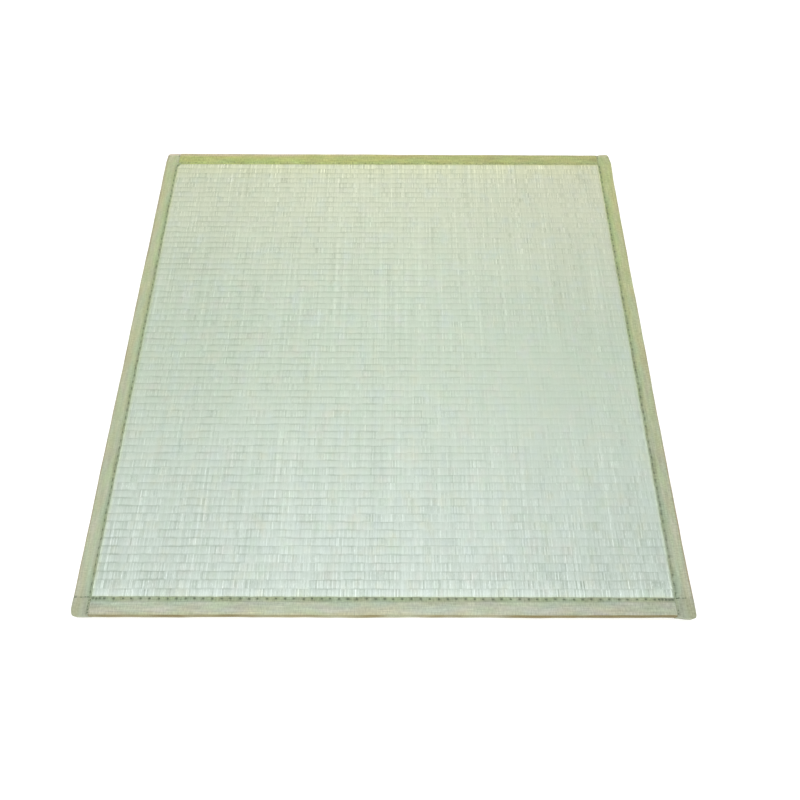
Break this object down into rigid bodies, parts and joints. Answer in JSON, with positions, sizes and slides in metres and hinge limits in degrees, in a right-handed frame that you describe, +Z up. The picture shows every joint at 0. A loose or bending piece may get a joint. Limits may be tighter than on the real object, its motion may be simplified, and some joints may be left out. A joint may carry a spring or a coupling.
{
  "type": "tatami mat",
  "caption": "Square flat tatami mat: a woven rush panel with a sage green cloth binding folded over its rim and sewn down. It lies flat on a floor.",
  "frame": {"origin": "centre of the mat's underside, on the surface that it lies on", "axes": "+Z up out of the woven face, +Y towards the back edge along the rush, +X to the right along the rows"},
  "size_m": [0.82, 0.82, 0.015],
  "materials": {
    "rush": "pale blue-green woven rush, satin, with fine straws and pressed rows",
    "binding_cloth": "sage green cotton binding, matte, fine plain weave",
    "sewing_thread": "dark green sewing thread, matte"
  },
  "bodies": {
    "root": {"rush_panel": "rush", "binding_left": "binding_cloth", "binding_right": "binding_cloth", "binding_front": "binding_cloth", "binding_back": "binding_cloth"}
  },
  "joints": []
}
